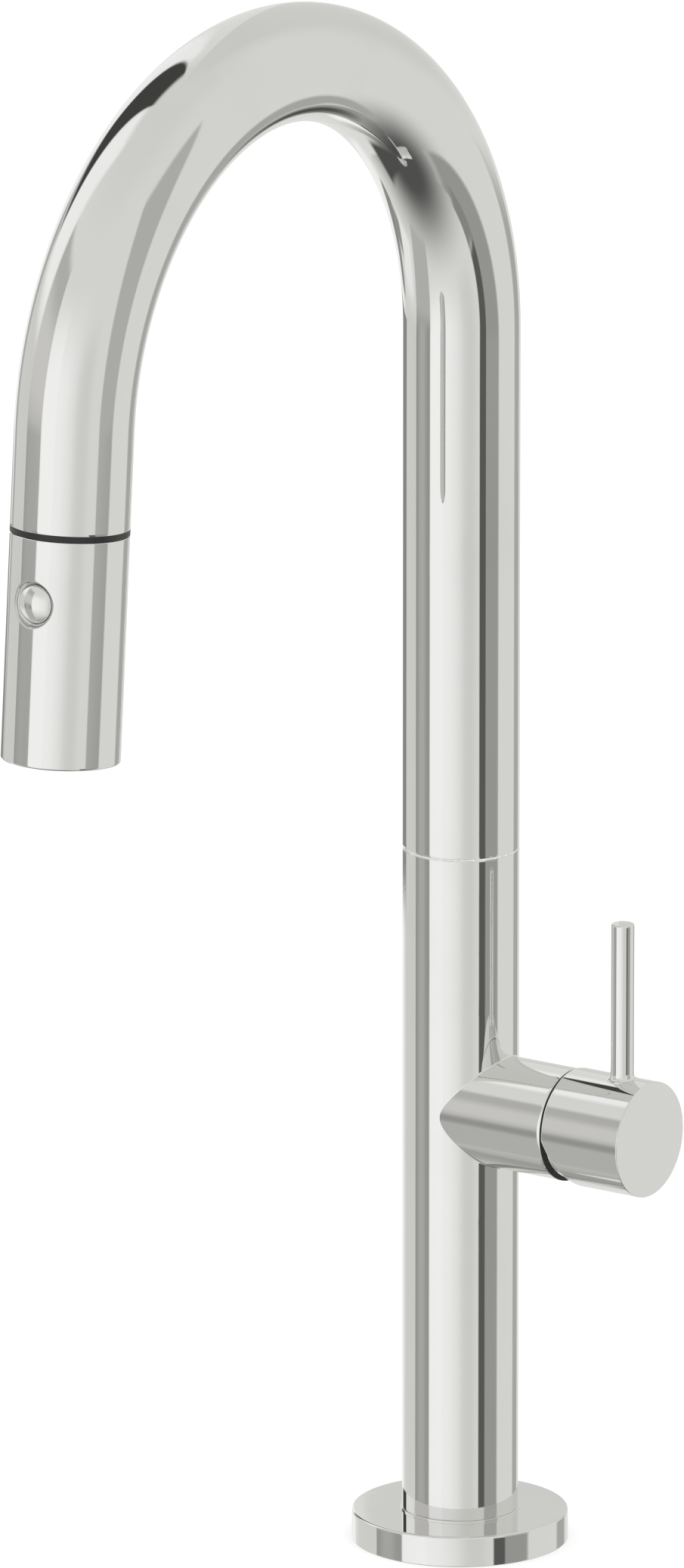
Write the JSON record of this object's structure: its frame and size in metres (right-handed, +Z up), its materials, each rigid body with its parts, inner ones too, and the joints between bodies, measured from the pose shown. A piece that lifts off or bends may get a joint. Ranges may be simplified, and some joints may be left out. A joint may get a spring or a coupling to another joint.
{
  "type": "pull-down kitchen faucet",
  "caption": "High-arc kitchen faucet with a tube spout, a pull-down spray head on a hose, a side-mounted pin lever mixer and a round deck flange.",
  "frame": {"origin": "on the column's axis at the deck, under the flange", "axes": "+Z up the column; the spout reaches along -Y and the handle along +X; -Z down the threaded shank"},
  "size_m": [0.1015, 0.2502, 0.5504],
  "materials": {
    "polished_nickel": "polished nickel plate, faintly warm",
    "brass": "machined brass",
    "stainless_steel": "bright stainless steel",
    "magnet_nickel": "nickel-plated magnet",
    "plated_brass": "nickel-plated brass, machined",
    "black_plastic": "moulded black acetal",
    "white_plastic": "moulded white acetal",
    "grey_plastic": "moulded glass-filled plastic",
    "dark_plastic": "moulded dark grey plastic",
    "seal_rubber": "black nitrile rubber",
    "nozzle_silicone": "soft grey silicone",
    "ceramic": "lapped alumina ceramic",
    "braided_hose": "grey nylon braid over a tube"
  },
  "bodies": {
    "column": {"base_flange": "polished_nickel", "flange_gasket": "seal_rubber", "deck_shank": "brass", "lower_body": "polished_nickel", "swivel_washer": "white_plastic", "upper_swivel_bush": "white_plastic", "lower_swivel_bush": "white_plastic", "spout_retaining_screw": "stainless_steel", "spray_hose_lower": "braided_hose", "hose_quick_plug": "plated_brass", "cartridge_housing": "grey_plastic", "cartridge_base_seals": "seal_rubber", "fixed_ceramic_disc": "ceramic", "cartridge_nut": "brass", "carrier_snap_ring": "stainless_steel", "handle_dome": "polished_nickel", "dome_o_ring": "seal_rubber"},
    "mixer_rotor": {"stem_carrier": "grey_plastic", "stem_pivot_pin": "stainless_steel", "carrier_o_ring": "seal_rubber"},
    "control_disc": {"moving_ceramic_disc": "ceramic", "disc_driver": "grey_plastic"},
    "handle": {"mixer_stem": "plated_brass", "handle_cap": "polished_nickel", "lever_pin": "polished_nickel", "handle_set_screw": "stainless_steel", "handle_screw_plug": "seal_rubber"},
    "spout": {"spout_tube": "polished_nickel", "swivel_spigot": "brass", "swivel_o_ring": "seal_rubber", "dock_collar": "black_plastic", "dock_magnet": "magnet_nickel", "hose_guide_bush": "white_plastic", "spray_hose_upper": "braided_hose"},
    "hose_end": {"hose_end_section": "braided_hose", "hose_ferrule": "stainless_steel", "hose_end_fitting": "plated_brass", "fitting_o_ring": "seal_rubber", "check_valve": "white_plastic"},
    "spray_head": {"spray_shell": "polished_nickel", "spray_neck": "black_plastic", "docking_armature": "stainless_steel", "spray_core": "grey_plastic", "core_seal_ring": "seal_rubber", "spray_face": "dark_plastic", "nozzle_mat": "nozzle_silicone", "aerator_housing": "grey_plastic", "aerator_screens": "stainless_steel", "button_bezel": "polished_nickel", "button_spring": "stainless_steel"},
    "spray_button": {"button_cap": "polished_nickel", "diverter_plunger": "grey_plastic", "plunger_o_ring": "seal_rubber"}
  },
  "joints": [
    {"name": "spout_swivel", "type": "hinge", "parent": "column", "child": "spout", "pos_m": [0, 0, 0.215], "axis": [0, 0, 1], "range_deg": [-75, 75]},
    {"name": "handle_temperature", "type": "hinge", "parent": "column", "child": "mixer_rotor", "pos_m": [0.043, 0, 0.1353], "axis": [1, 0, 0], "range_deg": [-50, 50]},
    {"name": "handle_flow", "type": "hinge", "parent": "mixer_rotor", "child": "handle", "pos_m": [0.043, 0, 0.1353], "axis": [0, 1, 0], "range_deg": [0, 22]},
    {"name": "control_disc_slide", "type": "slide", "parent": "mixer_rotor", "child": "control_disc", "axis": [0, 0, 1], "range_m": [0, 0.00496]},
    {"name": "head_pull_down", "type": "slide", "parent": "spout", "child": "hose_end", "axis": [0, -0.0739, -0.9973], "range_m": [0, 0.4], "stiffness_N_per_m": 5, "springref_m": -1.6},
    {"name": "spray_head_turn", "type": "hinge", "parent": "hose_end", "child": "spray_head", "pos_m": [0, -0.19567, 0.34714], "axis": [0, -0.0739, -0.9973], "continuous": true},
    {"name": "button_press", "type": "slide", "parent": "spray_head", "child": "spray_button", "axis": [0, 0.9973, -0.0739], "range_m": [0, 0.0025], "stiffness_N_per_m": 400, "springref_m": -0.002, "deforming": ["button_spring"]}
  ],
  "couplings": [
    {"joint": "control_disc_slide", "follows": "handle_flow", "m_per_rad": 0.01292}
  ]
}
